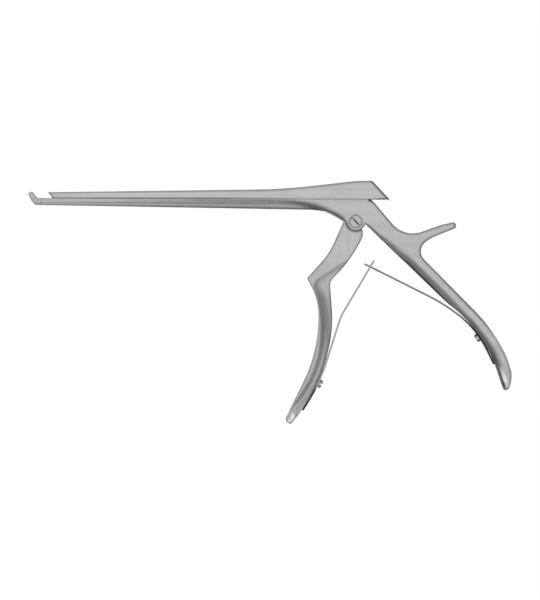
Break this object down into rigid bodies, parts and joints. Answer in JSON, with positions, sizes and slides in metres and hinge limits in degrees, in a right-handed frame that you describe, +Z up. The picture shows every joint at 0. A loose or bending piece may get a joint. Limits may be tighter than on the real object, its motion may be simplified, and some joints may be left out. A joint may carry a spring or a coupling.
{
  "type": "bone rongeur",
  "caption": "Hand-held bone punch: an upper shaft slides on a fixed shaft to cut against a footplate, driven by a pivoting front handle with crossing leaf springs.",
  "frame": {"origin": "where the pivot axis of the front handle leaves the flat far cheek of the body", "axes": "+X along the shafts, from the cutting tip towards the handles; +Y square to the flat far cheek, out of it; +Z up, from the handles towards the sliding shaft"},
  "size_m": [0.2661, 0.0104, 0.1338],
  "materials": {
    "forged_steel": "satin",
    "spring_steel": "satin",
    "screw_steel": "satin"
  },
  "bodies": {
    "frame": {"fixed_shaft": "forged_steel", "pivot_screw": "screw_steel", "rear_spring": "spring_steel", "rear_spring_screw": "screw_steel"},
    "slide": {"sliding_shaft": "forged_steel"},
    "lever": {"front_handle": "forged_steel", "front_spring": "spring_steel", "front_spring_screw": "screw_steel"}
  },
  "joints": [
    {"name": "handle_pivot", "type": "hinge", "parent": "frame", "child": "lever", "pos_m": [0, -0.005, 0], "axis": [0, -1, 0], "range_deg": [0, 29.6], "stiffness_Nm_per_rad": 1, "springref_deg": -20.05, "deforming": ["front_spring", "rear_spring"]},
    {"name": "shaft_slide", "type": "slide", "parent": "frame", "child": "slide", "axis": [-1, 0, 0], "range_m": [0, 0.00846]}
  ],
  "couplings": [
    {"joint": "shaft_slide", "follows": "handle_pivot", "m_per_rad": 0.01636}
  ]
}
